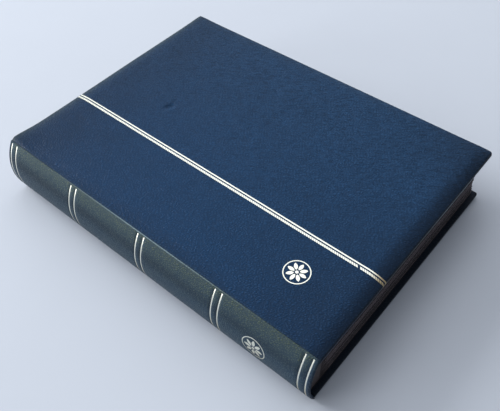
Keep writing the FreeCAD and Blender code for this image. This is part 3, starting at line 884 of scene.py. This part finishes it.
def leatherette_material(colours, sizes):
    # Bookbinding leatherette: a vinyl coating embossed by a grained roller. The eye sees close pebbles with
    # furrows darkened by painted shade, a low satin shine that the grain breaks up, and paler edges where it
    # has faded and where sheen is painted.
    material, node, place = begin("vinyl_leatherette_embossed_grain")
    grain = sizes.grain / MM
    # Pebbles about a grain wide, pushed out of line and drawn out at a slant
    drift = node("TexNoise", {"Vector": place, "Scale": 1 / (2.2 * grain), "Detail": 2.0})["Color"]
    centred = node("VectorMath", {0: drift, 1: (0.5, 0.5, 0.5)}, operation="SUBTRACT")[0]
    push = node("VectorMath", {0: centred, "Scale": 0.7 * grain}, operation="SCALE")[0]
    bent = node("VectorMath", {0: place, 1: push}, operation="ADD")[0]
    turned = node("VectorRotate", {"Vector": bent, "Angle": math.radians(56)}, rotation_type="Z_AXIS")[0]
    drawn = node("VectorMath", {0: turned, 1: (0.6, 1.35, 1.0)}, operation="MULTIPLY")[0]
    pebbles = node("TexVoronoi", {"Vector": drawn, "Scale": 1 / grain}, feature="DISTANCE_TO_EDGE")[0]
    raised = node("MapRange", {"Value": pebbles, "From Max": 0.45}, interpolation_type="SMOOTHSTEP")[0]
    fine = node("TexNoise", {"Vector": place, "Scale": 1 / (0.28 * grain), "Detail": 3.0})["Fac"]
    # The turn-ins pull short wrinkles into the sheet, most towards the fore-edge, coarse enough to show
    pulled = node("VectorMath", {0: turned, 1: (0.18, 1.0, 1.0)}, operation="MULTIPLY")[0]
    waves = node("TexNoise", {"Vector": pulled, "Scale": 1 / (0.65 * grain), "Detail": 0.0})["Fac"]
    spread = {"From Min": 0.25, "From Max": 0.75, "To Min": -0.5, "To Max": 0.5}
    wrinkles = node("MapRange", {"Value": waves, **spread})[0]
    across = node("SeparateXYZ", {0: place})["X"]
    pull = node("MapRange", {"Value": across, "From Min": -100.0, "From Max": 100.0, "To Min": 0.15})[0]
    wrinkled = node("Math", {0: wrinkles, 1: pull}, operation="MULTIPLY")[0]
    grained = node("Math", {0: fine, 1: 0.35, 2: raised}, operation="MULTIPLY_ADD")[0]
    height = node("Math", {0: wrinkled, 1: 0.7, 2: grained}, operation="MULTIPLY_ADD")[0]
    # Its colour drifts over about 26 mm; painted shade darkens its furrows and lightens its pebbles' tops
    broad = node("TexNoise", {"Vector": place, "Scale": 1 / 26.0, "Detail": 3.0})["Fac"]
    dark, pale = shade(colours.leatherette, 0.90), shade(colours.leatherette, 1.12)
    tone = node("Mix", {FACTOR: broad, FIRST: dark, SECOND: pale}, data_type="RGBA")[MIXED]
    pebble_shading = node("MapRange", {"Value": raised, "To Min": 0.66, "To Max": 1.16})[0]
    grain_shading = node("Math", {0: wrinkled, 1: 0.5, 2: pebble_shading}, operation="MULTIPLY_ADD")[0]
    darkening = {"data_type": "RGBA", "blend_type": "MULTIPLY"}
    # The dye's tone times the painted grain shading
    dyed = node("Mix", {FACTOR: 1.0, FIRST: tone, SECOND: grain_shading}, **darkening)[MIXED]
    # Values up to 1 fade the raised grain first, also as painted sheen; beyond 1 they paint a pale highlight
    # line
    wear = node("Attribute", {}, attribute_name="wear")["Fac"]
    uneven = node("MapRange", {"Value": height, "From Max": 1.2, "To Min": 0.3, "To Max": 1.4})[0]
    patchy = node("Math", {0: wear, 1: uneven}, operation="MULTIPLY", use_clamp=True)[0]
    highlight_line = node("MapRange", {"Value": wear, "From Min": 1.0, "From Max": 2.0})[0]
    # Painted shade, mixed in last
    soil = node("Attribute", {}, attribute_name="soil")["Fac"]
    coat = dyed
    for amount, over in ((patchy, colours.fade_and_sheen), (highlight_line, colours.painted_sheen), (soil, colours.soil)):
        coat = node("Mix", {FACTOR: amount, FIRST: coat, SECOND: list(over)}, data_type="RGBA")[MIXED]
    rough = node("MapRange", {"Value": height, "To Min": 0.48, "To Max": 0.34})[0]
    bump = node("Bump", {"Height": height, "Strength": 1.0, "Distance": 0.25 * MM})["Normal"]
    gloss = {"Roughness": rough, "IOR": 1.5, "Specular IOR Level": 0.075}
    surface(node, {"Base Color": coat, "Normal": bump, **gloss})
    return material


def gilt_material(colours):
    # Hot-stamped metallised foil: a bright pale gold film that takes on the grain it was pressed into, so
    # its shine breaks into small glints, with pinholes where it didn't hold.
    material, node, place = begin("hot_stamped_gilt_foil")
    grain = node("TexNoise", {"Vector": place, "Scale": 1 / 0.55, "Detail": 3.0})["Fac"]
    rough = node("MapRange", {"Value": grain, "To Min": 0.26, "To Max": 0.46})[0]
    pinholes = node("MapRange", {"Value": grain, "From Min": 0.66, "From Max": 0.74})[0]
    # Painted shade darkens and warms the foil towards the cover's tail and down the spine
    dulled = node("Attribute", {}, attribute_name="dulled")["Fac"]
    foil = list(colours.gilt)
    for amount, over in ((dulled, list(colours.shaded_gilt)), (pinholes, shade(colours.gilt, 0.62))):
        foil = node("Mix", {FACTOR: amount, FIRST: foil, SECOND: over}, data_type="RGBA")[MIXED]
    bump = node("Bump", {"Height": grain, "Strength": 0.35, "Distance": 0.05 * MM})["Normal"]
    surface(node, {"Base Color": foil, "Metallic": 1.0, "Roughness": rough, "Normal": bump})
    return material


def card_material(colours):
    # Card dyed black in the pulp and calendered: near black, faintly warm, matt with a slight polish, with
    # short paler fibres. The fibres are drawn about 1 mm long so that they show.
    material, node, place = begin("dyed_black_card_calendered")
    drawn = node("VectorMath", {0: place, 1: (0.9, 2.6, 2.6)}, operation="MULTIPLY")[0]
    fibre = node("TexNoise", {"Vector": drawn, "Scale": 1.0, "Detail": 4.0, "Roughness": 0.7})["Fac"]
    cloud = node("TexNoise", {"Vector": place, "Scale": 1 / 9.0, "Detail": 2.0})["Fac"]
    mixed = node("Math", {0: cloud, 1: 0.6, 2: fibre}, operation="MULTIPLY_ADD")[0]
    pulp = node("MapRange", {"Value": mixed, "From Min": 0.55, "From Max": 1.05})[0]
    dull_surface(node, colours.leaf, (0.75, 1.35), pulp, fibre, 0.25, 0.03, roughness=0.66, specular=0.35)
    return material


def edge_material(name, rgba):
    # The same card where a guillotine trimmed it: paler and duller than its faces, brownish with dust, and
    # scored in fine streaks.
    material, node, place = begin(name)
    drawn = node("VectorMath", {0: place, 1: (0.5, 0.5, 0.9)}, operation="MULTIPLY")[0]
    score = node("TexNoise", {"Vector": drawn, "Scale": 1.0, "Detail": 4.0, "Roughness": 0.65})["Fac"]
    streaks = node("MapRange", {"Value": score, "From Min": 0.3, "From Max": 0.7})[0]
    dull_surface(node, rgba, (0.6, 1.35), streaks, score, 0.4, 0.05, roughness=0.8, specular=0.25)
    return material


def linen_material(colours):
    # Dyed bookbinding linen, plain woven and sized: dark crossing threads, matt. The threads are drawn
    # 0.6 mm apart, about twice the real spacing, so that the weave shows.
    material, node, place = begin("dyed_bookbinding_linen_plain_weave")
    threads = node("VectorMath", {0: place, "Scale": math.pi / 0.6}, operation="SCALE")[0]
    ways = node("SeparateXYZ", {0: threads})
    over = [node("Math", {0: ways[axis]}, operation="SINE")[0] for axis in ("X", "Y")]
    weave = node("Math", {0: over[0], 1: over[1]}, operation="MULTIPLY")[0]
    slub = node("TexNoise", {"Vector": place, "Scale": 1 / 1.5, "Detail": 2.0})["Fac"]
    dull_surface(node, colours.linen, (0.7, 1.4), slub, weave, 0.5, 0.06, roughness=0.85, specular=0.25)
    return material


def film_material(colours):
    # Clear cast film, heat cut: nearly invisible over the card but for its glossy, slightly rippled
    # reflections and pale cut edges.
    material, node, place = begin("clear_cast_film_heat_cut")
    ripple = node("TexNoise", {"Vector": place, "Scale": 1 / 14.0, "Detail": 1.0})["Fac"]
    bump = node("Bump", {"Height": ripple, "Strength": 0.6, "Distance": 0.5 * MM})["Normal"]
    clear = {"Alpha": 0.13, "Roughness": 0.09, "IOR": 1.49}
    surface(node, {"Base Color": list(colours.film), "Normal": bump, **clear})
    return material


def glassine_material(colours):
    # Glassine, supercalendered until it is see-through: a milky, smooth, faintly crackling sheet.
    material, node, place = begin("supercalendered_glassine")
    crackle = node("TexNoise", {"Vector": place, "Scale": 1 / 18.0, "Detail": 3.0})["Fac"]
    bump = node("Bump", {"Height": crackle, "Strength": 0.5, "Distance": 0.8 * MM})["Normal"]
    surface(node, {"Base Color": list(colours.glassine), "Alpha": 0.42, "Roughness": 0.38, "Normal": bump})
    return material


def endpaper_material(colours):
    # Black endpaper with a laid pattern from the mould: fine parallel ribs about 1 mm apart, matt.
    material, node, place = begin("black_laid_endpaper")
    across = node("SeparateXYZ", {0: place})["X"]
    turns = node("Math", {0: across, 1: 2 * math.pi / 1.0}, operation="MULTIPLY")[0]
    ribs = node("Math", {0: turns}, operation="SINE")[0]
    pulp = node("TexNoise", {"Vector": place, "Scale": 1 / 3.0, "Detail": 4.0})["Fac"]
    height = node("Math", {0: ribs, 1: 0.3, 2: pulp}, operation="MULTIPLY_ADD")[0]
    dull_surface(node, colours.endpaper, (0.75, 1.5), pulp, height, 0.3, 0.05, roughness=0.75, specular=0.3)
    return material


def board_material(colours):
    # Greyboard, pressed from waste paper: dull grey-brown with flecks and a rough cut edge.
    material, node, place = begin("pressed_greyboard")
    pulp = node("TexNoise", {"Vector": place, "Scale": 1 / 1.2, "Detail": 5.0, "Roughness": 0.7})["Fac"]
    dull_surface(node, colours.board, (0.7, 1.2), pulp, pulp, 0.4, 0.08, roughness=0.9, specular=0.2)
    return material


def foam_material(colours):
    # Sliced polyurethane foam: pale, dull, with open cells about 0.8 mm wide.
    material, node, place = begin("sliced_polyurethane_foam")
    cells = node("TexVoronoi", {"Vector": place, "Scale": 1 / 0.8})["Distance"]
    dull_surface(node, colours.foam, (0.7, 1.05), cells, cells, 0.6, 0.2, roughness=0.95, specular=0.15)
    return material


def floor_material(colours):
    # Matt painted studio floor: even and pale, with the least unevenness of rolled paint.
    material, node, place = begin("matt_painted_floor")
    roll = node("TexNoise", {"Vector": place, "Scale": 1 / 60.0, "Detail": 2.0})["Fac"]
    dark, pale = shade(colours.floor, 0.985), shade(colours.floor, 1.01)
    tone = node("Mix", {FACTOR: roll, FIRST: dark, SECOND: pale}, data_type="RGBA")[MIXED]
    surface(node, {"Base Color": tone, "Roughness": 0.8, "Specular IOR Level": 0.25})
    return material


FINISHES = {}


def finish(name, maker, *values):
    """A material by its key, made the first time it is asked for."""
    if name not in FINISHES:
        FINISHES[name] = maker(*values)
    return FINISHES[name]


def leatherette(context):
    """The leatherette of the case."""
    scene = context.scene
    return finish("leatherette", leatherette_material, scene.album_colours, scene.album_sizes)


# Operators


class ALBUM_OT_covers(bpy.types.Operator):
    """Build the leatherette and the padding of both covers"""

    bl_idname = "album.covers"
    bl_label = "Covers"

    CUT_EDGE = 0.2  # rounding of the leatherette's cut edges

    def execute(self, context):
        for side in ("front", "back"):
            form = CoverForm(context.scene.album_sizes, side == "front")
            body = f"{side}_cover"
            points, faces = form.skin()
            skin = make_piece(f"{side}_cover_leatherette", body, (points, faces), [leatherette(context)])
            # The skin's fading also carries painted sheen and highlight, and its darkening is painted shade
            wear, soil = form.wear_sheen_and_shade(points)
            store(skin, wear=wear, soil=soil)
            thicken(skin, LEATHERETTE, self.CUT_EDGE)
            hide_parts(f"{side}_leatherette")
            low, high = node_box(f"{side}_padding")
            under = ALBUM_TOP - low[2] if side == "front" else high[2]
            foam = finish("foam", foam_material, context.scene.album_colours)
            pad = make_piece(f"{side}_cover_foam", body, form.padding(under), [foam])
            sharpen(pad, degrees=40)
            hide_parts(f"{side}_padding")
        return {"FINISHED"}


class ALBUM_OT_spine(bpy.types.Operator):
    """Build the rounded leatherette of the spine"""

    bl_idname = "album.spine"
    bl_label = "Spine"

    CUT_EDGE = 0.26  # rounding of the leatherette's cut edges

    def execute(self, context):
        form = SpineForm(context.scene.album_sizes)
        points, faces = form.skin()
        skin = make_piece("spine_cover_leatherette", "spine", (points, faces), [leatherette(context)])
        # The skin's fading also carries painted sheen and highlight, and its darkening is painted shade
        wear, soil = form.wear_sheen_and_shade(points)
        store(skin, wear=wear, soil=soil)
        thicken(skin, LEATHERETTE, self.CUT_EDGE)
        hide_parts("spine_leatherette")
        return {"FINISHED"}


class ALBUM_OT_gilding(bpy.types.Operator):
    """Lay the gilt rules, lines and rosettes"""

    bl_idname = "album.gilding"
    bl_label = "Gilding"

    MOST_DULL, LEAST_ON_SPINE = 0.85, 0.13
    SPINE_GILT_SHADE = (30.0, 10.0)  # heights between which painted shade darkens the spine's gilt
    TAIL_GILT_SHADE = (11.0, 3.0)  # distances from the tail between which painted shade darkens the cover's gilt

    def execute(self, context):
        sizes = context.scene.album_sizes
        foil = finish("gilt", gilt_material, context.scene.album_colours)
        cover, spine = CoverForm(sizes, True), SpineForm(sizes)
        cover.skin()
        rope, plain = (RuleLay(cover, low, high) for low, high in cover.grooves)
        x, y = sizes.cover_ornament_x / MM, sizes.cover_ornament_y / MM - ALBUM_HALF
        middle, spine_y = spine.length / 2, sizes.spine_ornament_y / MM - ALBUM_HALF

        def on_cover(p, q, up):
            return cover.place(x + p, y + q, cover.depth(x + p, y + q) - up)

        def on_spine(p, q, up):
            return spine.place(middle - q, spine_y - p, up)

        diameter = sizes.ornament / MM
        strands = rope_rule(rope, sizes.rope_pitch / MM, sizes.rope_nick / MM)
        lines = joined([spine_line(spine, line) for line in spine.lines])
        self.lay("front_rope_rule", "front_cover", strands, foil, "front_gilt_rules")
        self.lay("front_plain_rule", "front_cover", plain_rule(plain), foil, "front_gilt_rules")
        self.lay("spine_lines", "spine", lines, foil, "spine_gilt_lines")
        self.lay("front_rosette", "front_cover", rosette(on_cover, diameter), foil, "front_ornament")
        self.lay("spine_rosette", "spine", rosette(on_spine, diameter), foil, "spine_ornament")
        return {"FINISHED"}

    def lay(self, name, body, form, foil, node):
        """One piece of gilt in place of its solids, with painted shade near the cover's tail and down the
        spine.
        """
        piece = make_piece(name, body, form, [foil])
        sharpen(piece, degrees=50)
        _, y, z = form[0].T
        if body == "spine":
            dulled = np.maximum(ramp(z, *self.SPINE_GILT_SHADE), self.LEAST_ON_SPINE)
        else:
            dulled = ramp(y + ALBUM_HALF, *self.TAIL_GILT_SHADE)
        store(piece, dulled=self.MOST_DULL * dulled)
        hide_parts(node)


class ALBUM_OT_leaves(bpy.types.Operator):
    """Build the leaves with their linen, clear strips and glassine"""

    bl_idname = "album.leaves"
    bl_label = "Leaves"

    SEED = 7

    def execute(self, context):
        sizes, colours = context.scene.album_sizes, context.scene.album_colours
        card = finish("card", card_material, colours)
        edge = finish("edge", edge_material, "dyed_black_card_guillotined_edge", colours.edge)
        linen = finish("linen", linen_material, colours)
        film = finish("film", film_material, colours)
        glassine = finish("glassine", glassine_material, colours)
        chance = np.random.default_rng(self.SEED)
        for node in LEAF_NAMES:
            form = LeafForm(node, chance)
            body = f"turning_{node}"
            card_form, shades = form.card()
            leaf = make_piece(f"{node}_card", body, card_form, [card, linen, edge], shades)
            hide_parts(node)
            strip_forms = form.strips(sizes.strips, sizes.strip_gap / MM)
            strips = make_piece(f"{node}_strips", body, strip_forms, [film])
            interleaf = make_piece(f"{node}_glassine", body, form.glassine(), [glassine])
            for piece in (leaf, strips, interleaf):
                sharpen(piece, degrees=40)
        return {"FINISHED"}


class ALBUM_OT_binding(bpy.types.Operator):
    """Give the boards, endpapers, spine card, lining and guards their materials"""

    bl_idname = "album.binding"
    bl_label = "Binding"

    def execute(self, context):
        colours = context.scene.album_colours
        board = finish("board", board_material, colours)
        endpaper = finish("endpaper", endpaper_material, colours)
        linen = finish("linen", linen_material, colours)
        # The guards' edges are darker than the leaves', as painted shade
        guards = finish("guards", edge_material, "dyed_black_card_guillotined_guards", colours.guards)
        given = {"front_board": board, "back_board": board, "spine_card": board, "front_endpaper": endpaper,
                 "back_endpaper": endpaper, "spine_lining": linen, "binding_guards": guards}
        for node, material in given.items():
            for slot in frame["nodes"][node].material_slots:
                slot.material = material
        return {"FINISHED"}


class ALBUM_OT_stage(bpy.types.Operator):
    """Build the floor, the lights, the world and the camera"""

    bl_idname = "album.stage"
    bl_label = "Stage"

    FLOOR_HALF, FLOOR_CELLS, FLOOR_HEIGHT = 4000.0, 8, -0.2
    # Place, size and power of each soft light, which all face the album
    LIGHTS = {
        "window_light": ((-1.00, 4.15, 1.75), (2.8, 2.6), 250.0),
        "far_light": ((1.16, 0.88, 2.25), (3.2, 3.0), 32.0),
        "low_light": ((1.80, 2.35, 0.78), (2.4, 0.6), 5.0),
        "left_light": ((-2.10, 1.25, 0.55), (1.2, 0.8), 19.0),
        "upper_light": ((-0.50, 0.95, 2.40), (1.3, 1.3), 6.0),
    }
    # The room is palest towards the window, and dim on the other side
    ROOM_PALEST = (-0.15, 0.75, 0.65)
    ROOM_LEVELS = {"From Min": -0.5, "From Max": 0.9, "To Min": 0.26, "To Max": 0.50}
    CAMERA_PLACE = Vector((-0.25741, -0.24100, 0.39232))
    CAMERA_AIM = Vector((-0.04042, -0.04246, 0.05000))
    CAMERA_ROLL = math.radians(-3.05)
    CAMERA_LENS, CAMERA_SENSOR = 45.4, 36.0

    def execute(self, context):
        self.lay_floor(context.scene)
        for name, (place, size, power) in self.LIGHTS.items():
            lamp = bpy.data.lights.new(name, "AREA")
            lamp.shape, lamp.energy = "RECTANGLE", power
            lamp.size, lamp.size_y = size
            holder = bpy.data.objects.new(name, lamp)
            holder.location = place
            holder.rotation_euler = (-Vector(place)).to_track_quat("-Z", "Y").to_euler()
            context.scene.collection.objects.link(holder)
        self.light_room(context.scene)
        self.stand_camera(context.scene)
        context.scene.view_settings.view_transform = "Standard"
        return {"FINISHED"}

    def lay_floor(self, scene):
        """The floor, a hair under the album."""
        side = np.linspace(-self.FLOOR_HALF, self.FLOOR_HALF, self.FLOOR_CELLS + 1)
        x, y = np.meshgrid(side, side)
        points = np.stack([x, y, np.full(x.shape, self.FLOOR_HEIGHT)], -1).reshape(-1, 3)
        mesh = bpy.data.meshes.new("floor")
        mesh.from_pydata((points * MM).tolist(), [], quads(np.arange(x.size).reshape(x.shape)))
        mesh.materials.append(finish("floor", floor_material, scene.album_colours))
        floor = bpy.data.objects.new("floor", mesh)
        scene.collection.objects.link(floor)

    def light_room(self, scene):
        """The world, as a room that is palest towards its window."""
        world = bpy.data.worlds.new("studio")
        world.use_nodes = True
        world.node_tree.nodes.clear()
        node = partial(add, world.node_tree)
        look = node("TexCoord", {})["Generated"]
        facing = node("VectorMath", {0: look, 1: self.ROOM_PALEST}, operation="DOT_PRODUCT")["Value"]
        level = node("MapRange", {"Value": facing, **self.ROOM_LEVELS}, interpolation_type="SMOOTHSTEP")[0]
        sky = node("Background", {"Color": list(scene.album_colours.room), "Strength": level})[0]
        node("OutputWorld", {"Surface": sky})
        scene.world = world

    def stand_camera(self, scene):
        """The camera at the photograph's viewing angle."""
        lens = bpy.data.cameras.new("camera")
        lens.lens, lens.sensor_width, lens.sensor_fit = self.CAMERA_LENS, self.CAMERA_SENSOR, "HORIZONTAL"
        camera = bpy.data.objects.new("camera", lens)
        forward = (self.CAMERA_AIM - self.CAMERA_PLACE).normalized()
        right = forward.cross(Vector((0, 0, 1))).normalized()
        up = right.cross(forward)
        c, s = math.cos(self.CAMERA_ROLL), math.sin(self.CAMERA_ROLL)
        axes = Matrix((right * c + up * s, up * c - right * s, -forward)).transposed()
        camera.matrix_world = Matrix.Translation(self.CAMERA_PLACE) @ axes.to_4x4()
        scene.collection.objects.link(camera)
        scene.camera = camera


STEPS = ("covers", "spine", "gilding", "leaves", "binding", "stage")


class ALBUM_PT_looks(bpy.types.Panel):
    """Sizes, colours and steps of the album's looks"""

    bl_idname = "ALBUM_PT_looks"
    bl_label = "Stamp album"
    bl_space_type = "VIEW_3D"
    bl_region_type = "UI"
    bl_category = "Album"

    def draw(self, context):
        for group in (context.scene.album_sizes, context.scene.album_colours):
            box = self.layout.box()
            for name in group.__annotations__:
                box.prop(group, name)
        for step in STEPS:
            self.layout.operator(f"album.{step}")


CLASSES = (AlbumSizes, AlbumColours, ALBUM_OT_covers, ALBUM_OT_spine, ALBUM_OT_gilding, ALBUM_OT_leaves,
           ALBUM_OT_binding, ALBUM_OT_stage, ALBUM_PT_looks)


def register():
    for one in CLASSES:
        bpy.utils.register_class(one)
    bpy.types.Scene.album_sizes = PointerProperty(type=AlbumSizes)
    bpy.types.Scene.album_colours = PointerProperty(type=AlbumColours)


def unregister():
    del bpy.types.Scene.album_colours
    del bpy.types.Scene.album_sizes
    for one in reversed(CLASSES):
        bpy.utils.unregister_class(one)


def main():
    register()
    for step in STEPS:
        getattr(bpy.ops.album, step)()


if __name__ == "__main__":
    main()
